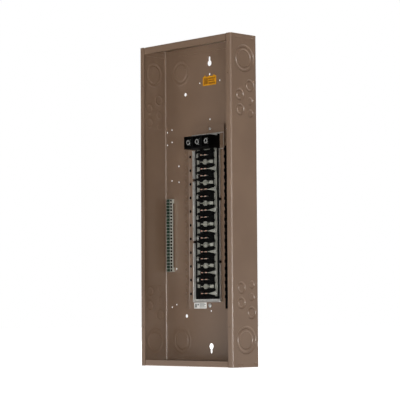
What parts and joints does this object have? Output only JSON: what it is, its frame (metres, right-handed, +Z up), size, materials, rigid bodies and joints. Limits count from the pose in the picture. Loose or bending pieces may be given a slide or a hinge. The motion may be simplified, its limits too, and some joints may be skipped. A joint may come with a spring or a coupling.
{
  "type": "load center",
  "caption": "Indoor three-phase main-lug load center: open steel box with interior, main lugs, neutral and grounding bars, without cover or breakers.",
  "frame": {"origin": "centre of the box's back face, on the wall's surface", "axes": "+X to the right seen from the front, +Y into the wall, +Z up; the box opens towards -Y"},
  "size_m": [0.3634, 0.0986, 0.889],
  "materials": {
    "tan_paint": "satin tan-brown baked enamel",
    "zinc_steel": "zinc-plated sheet",
    "plated_copper": "tin-plated copper, silver grey, bare copper at the cut edges",
    "black_plastic": "moulded black thermoset",
    "aluminium": "extruded, plated",
    "screw_steel": "plated steel",
    "yellow_tag": "printed tag, print left out",
    "white_label": "adhesive label, print left out"
  },
  "bodies": {
    "panel": {"bottom_end_wall": "tan_paint", "box_wrap": "tan_paint", "bus_bar_a": "plated_copper", "bus_bar_b": "plated_copper", "bus_bar_c": "plated_copper", "bus_insulator": "black_plastic", "bus_tray": "zinc_steel", "caution_tag": "yellow_tag", "ground_bar": "aluminium", "ground_bar_screw_bottom": "screw_steel", "ground_bar_screw_top": "screw_steel", "interior_pan": "tan_paint", "lug_block": "black_plastic", "main_lug_a": "aluminium", "main_lug_b": "aluminium", "main_lug_c": "aluminium", "neutral_bar": "aluminium", "neutral_base": "black_plastic", "neutral_lug": "aluminium", "pan_screw_bottom": "screw_steel", "pan_screw_top": "screw_steel", "pan_standoff_1": "zinc_steel", "pan_standoff_2": "zinc_steel", "pan_standoff_3": "zinc_steel", "pan_standoff_4": "zinc_steel", "rating_plate": "white_label", "stab_a_01": "plated_copper", "stab_a_04": "plated_copper", "stab_a_07": "plated_copper", "stab_a_10": "plated_copper", "stab_a_13": "plated_copper", "stab_a_16": "plated_copper", "stab_a_19": "plated_copper", "stab_b_02": "plated_copper", "stab_b_05": "plated_copper", "stab_b_08": "plated_copper", "stab_b_11": "plated_copper", "stab_b_14": "plated_copper", "stab_b_17": "plated_copper", "stab_b_20": "plated_copper", "stab_c_03": "plated_copper", "stab_c_06": "plated_copper", "stab_c_09": "plated_copper", "stab_c_12": "plated_copper", "stab_c_15": "plated_copper", "stab_c_18": "plated_copper", "stab_c_21": "plated_copper", "top_end_wall": "tan_paint"},
    "lug_screw_a": {"lug_screw_a": "screw_steel"},
    "lug_screw_b": {"lug_screw_b": "screw_steel"},
    "lug_screw_c": {"lug_screw_c": "screw_steel"},
    "neutral_lug_screw": {"neutral_lug_screw": "screw_steel"}
  },
  "joints": [
    {"name": "lug_screw_a_turn", "type": "hinge", "parent": "panel", "child": "lug_screw_a", "pos_m": [-0.0343, -0.041, 0.1695], "axis": [0, 1, 0], "continuous": true},
    {"name": "lug_screw_b_turn", "type": "hinge", "parent": "panel", "child": "lug_screw_b", "pos_m": [0.0005, -0.041, 0.1695], "axis": [0, 1, 0], "continuous": true},
    {"name": "lug_screw_c_turn", "type": "hinge", "parent": "panel", "child": "lug_screw_c", "pos_m": [0.0353, -0.041, 0.1695], "axis": [0, 1, 0], "continuous": true},
    {"name": "neutral_lug_screw_turn", "type": "hinge", "parent": "panel", "child": "neutral_lug_screw", "pos_m": [0.1113, -0.037, 0.197], "axis": [0, 1, 0], "continuous": true}
  ]
}
